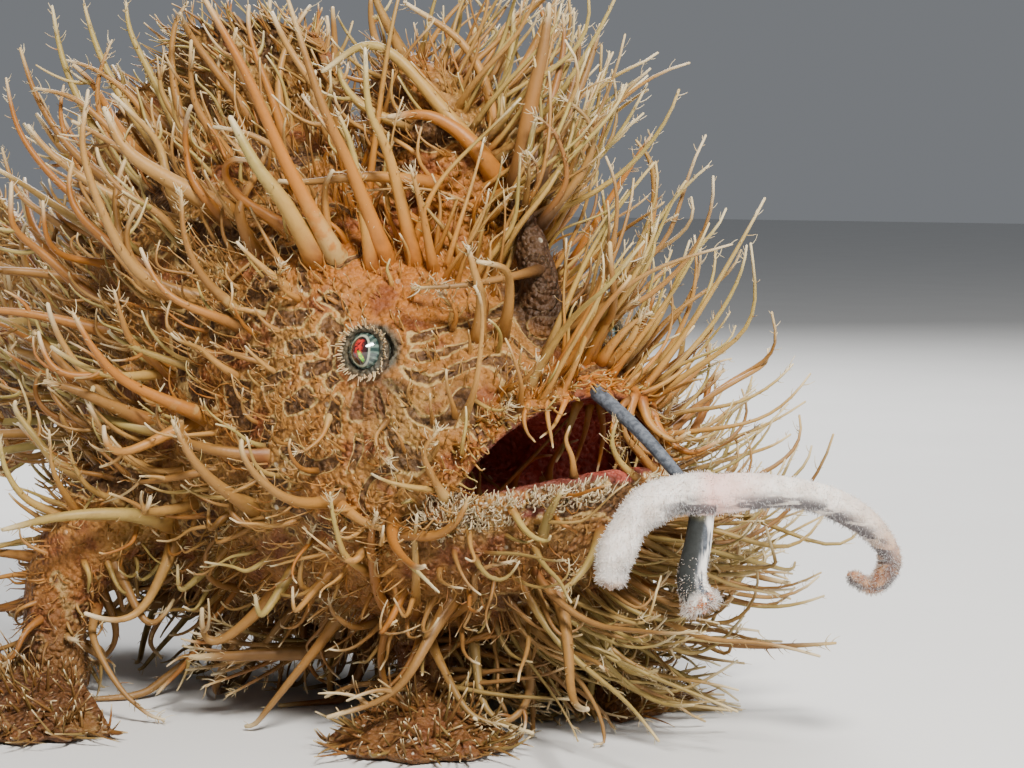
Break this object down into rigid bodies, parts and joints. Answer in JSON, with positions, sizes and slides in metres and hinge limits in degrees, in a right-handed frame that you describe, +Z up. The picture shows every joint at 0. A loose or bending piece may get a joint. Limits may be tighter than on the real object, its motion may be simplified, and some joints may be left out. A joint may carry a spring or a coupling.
{
  "type": "hairy frogfish",
  "caption": "Hairy (striated) frogfish, a still life-size model standing on its fins, mouth ajar, with skin filaments all over and a worm-like lure held out in front.",
  "frame": {"origin": "on the floor, at the centre of the bounding box seen from above", "axes": "+Z up; the fish faces -Y with its tail towards +Y; its right side is towards -X"},
  "size_m": [0.1156, 0.175, 0.0949],
  "materials": {
    "skin": "moist skin, tan to orange with dark brown streaks",
    "fin_skin": "moist fin skin over raised rays, tan with dark spots",
    "eye": "wet, glossy",
    "lure_worm": "cream white, fluffy",
    "lure_stalk": "blue-grey, smooth"
  },
  "bodies": {
    "root": {"head": "skin", "lower_jaw": "skin", "torso": "skin", "tail_stalk": "skin", "second_dorsal_spine": "skin", "third_dorsal_spine": "skin", "right_pectoral_arm": "skin", "left_pectoral_arm": "skin", "dorsal_fin": "fin_skin", "anal_fin": "fin_skin", "tail_fin": "fin_skin", "right_pectoral_fin": "fin_skin", "left_pectoral_fin": "fin_skin", "right_pelvic_fin": "fin_skin", "left_pelvic_fin": "fin_skin", "right_eye": "eye", "left_eye": "eye", "lure_near_arm": "lure_worm", "lure_far_arm": "lure_worm", "lure_rod": "lure_stalk", "lure_hanging_arm": "lure_stalk"}
  },
  "joints": []
}
